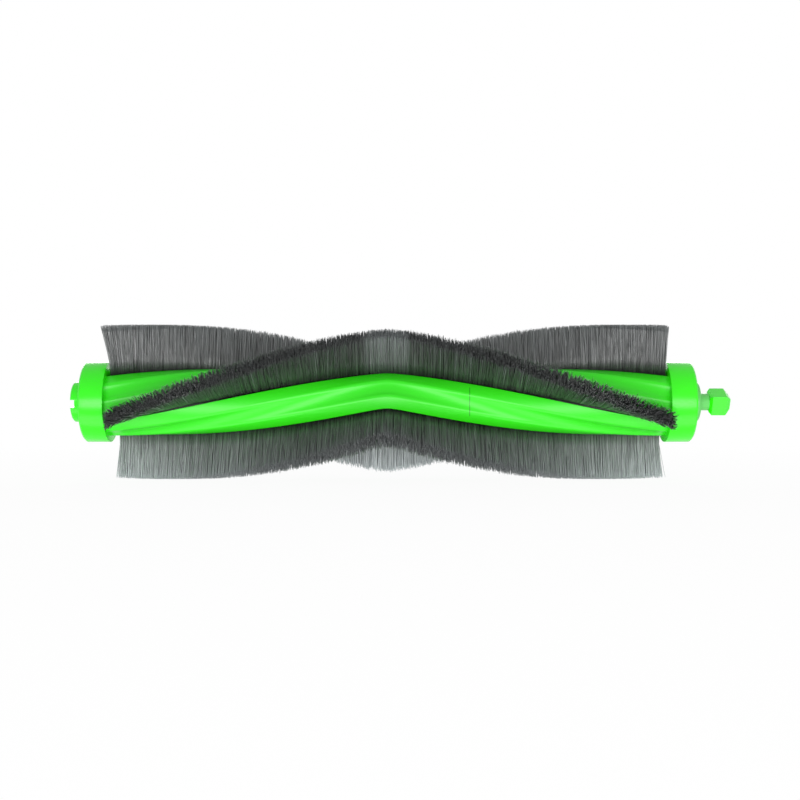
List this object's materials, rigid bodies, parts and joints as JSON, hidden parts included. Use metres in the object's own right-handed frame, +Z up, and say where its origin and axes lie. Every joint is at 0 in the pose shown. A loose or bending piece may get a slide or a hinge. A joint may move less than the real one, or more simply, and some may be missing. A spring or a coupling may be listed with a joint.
{
  "type": "robot vacuum roller brush",
  "caption": "Green moulded roller with V-shaped rows of dark grey bristles, round end caps, a slotted drive boss and a square bearing block.",
  "frame": {"origin": "on the spin axis, half-way along the roller's overall length", "axes": "+X along the spin axis from the drive boss to the bearing block, +Z up, -Y towards the camera"},
  "size_m": [0.1794, 0.0424, 0.0424],
  "materials": {
    "core_plastic": "satin",
    "cap_plastic": "satin",
    "bush_plastic": "satin",
    "backing_plastic": "matte",
    "bristle_nylon": "matte",
    "steel": "polished"
  },
  "bodies": {
    "bearing": {"bearing_bush": "bush_plastic", "bearing_block": "cap_plastic"},
    "roller": {"roller_core": "core_plastic", "drive_end_cap": "cap_plastic", "bearing_end_cap": "cap_plastic", "drive_pin": "steel", "bearing_axle": "steel", "strip_backing_1_drive": "backing_plastic", "strip_backing_1_bearing": "backing_plastic", "strip_backing_2_drive": "backing_plastic", "strip_backing_2_bearing": "backing_plastic", "strip_backing_3_drive": "backing_plastic", "strip_backing_3_bearing": "backing_plastic", "strip_backing_4_drive": "backing_plastic", "strip_backing_4_bearing": "backing_plastic", "bristle_pile_1_drive": "bristle_nylon", "bristle_pile_1_bearing": "bristle_nylon", "bristle_pile_2_drive": "bristle_nylon", "bristle_pile_2_bearing": "bristle_nylon", "bristle_pile_3_drive": "bristle_nylon", "bristle_pile_3_bearing": "bristle_nylon", "bristle_pile_4_drive": "bristle_nylon", "bristle_pile_4_bearing": "bristle_nylon"}
  },
  "joints": [
    {"name": "roller_spin", "type": "hinge", "parent": "bearing", "child": "roller", "pos_m": [0, 0, 0], "axis": [1, 0, 0], "continuous": true}
  ]
}
